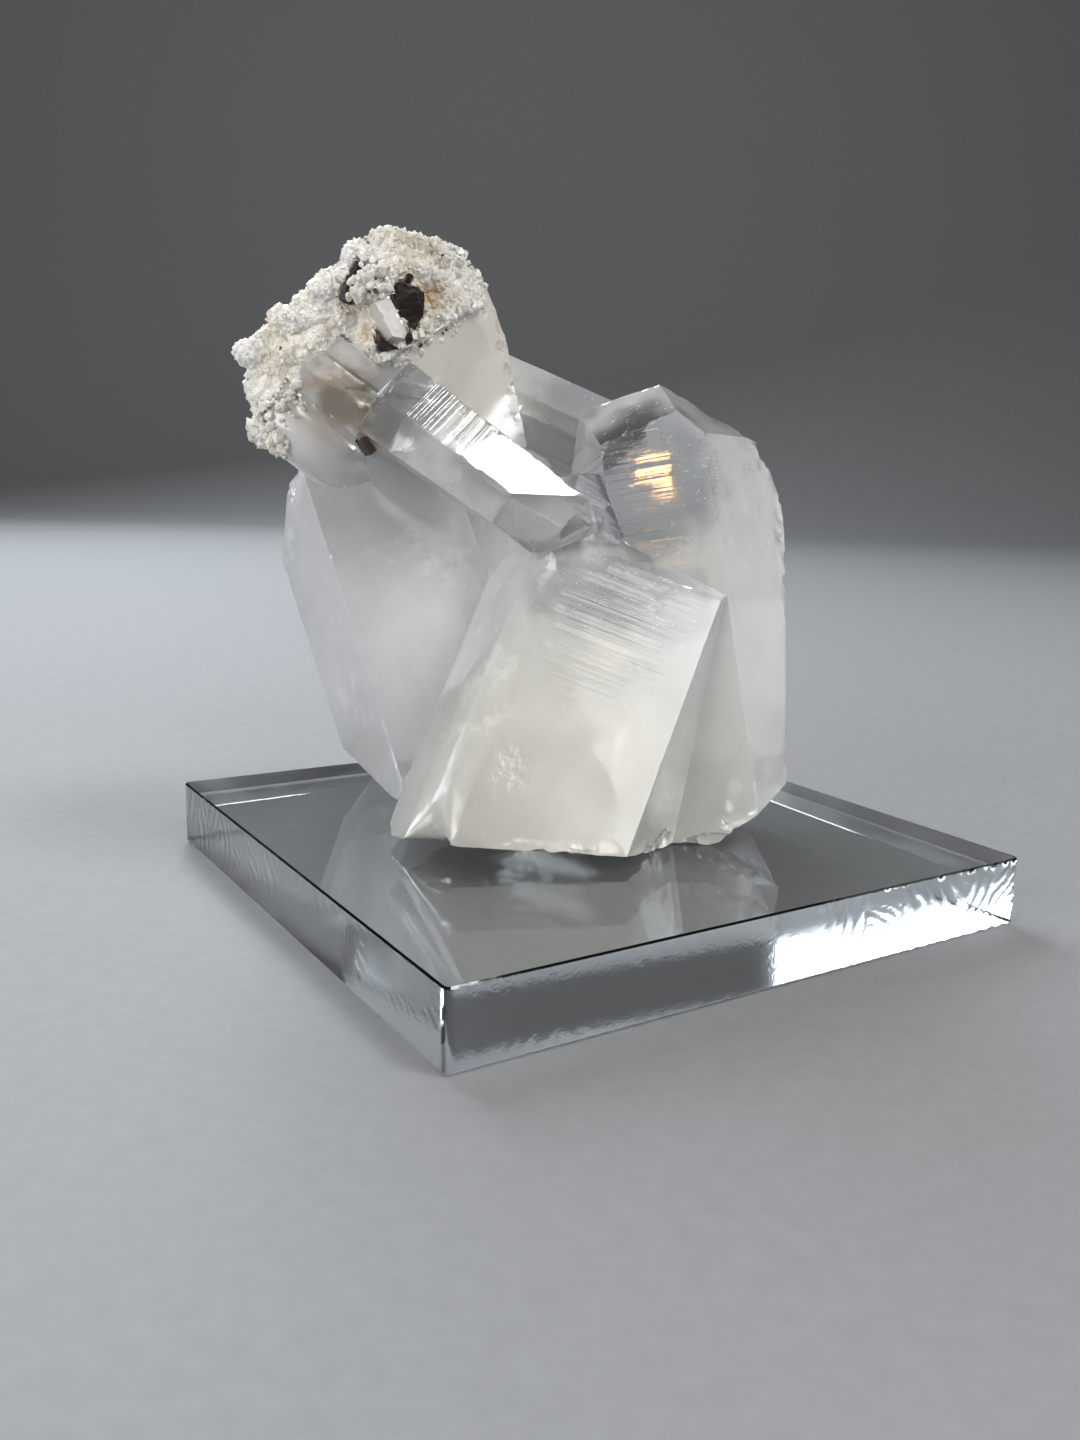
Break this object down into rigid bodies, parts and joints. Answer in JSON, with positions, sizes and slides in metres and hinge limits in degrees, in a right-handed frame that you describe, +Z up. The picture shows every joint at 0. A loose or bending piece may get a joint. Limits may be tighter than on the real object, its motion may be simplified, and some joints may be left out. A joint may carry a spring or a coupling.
{
  "type": "quartz point cluster",
  "caption": "Cluster of intergrown clear and milky quartz points with a sugary drusy crust and dark iron oxide crystals, resting on a square clear acrylic display base.",
  "frame": {"origin": "middle of the acrylic base's underside", "axes": "+Z up out of the base, +X and +Y along the base's sides, the specimen's front towards -X and -Y"},
  "size_m": [0.075, 0.075, 0.0775],
  "materials": {
    "acrylic": "clear polished acrylic, sawn edges satin",
    "quartz": "glassy faces, clear to milky inside",
    "crust": "sugary white to cream mineral grains",
    "iron_oxide": "dull to submetallic dark brown mineral"
  },
  "bodies": {
    "root": {"acrylic_base": "acrylic", "quartz_cluster": "quartz", "drusy_crust": "crust", "iron_oxide_block": "iron_oxide", "iron_oxide_sliver": "iron_oxide", "iron_oxide_slab": "iron_oxide"}
  },
  "joints": []
}
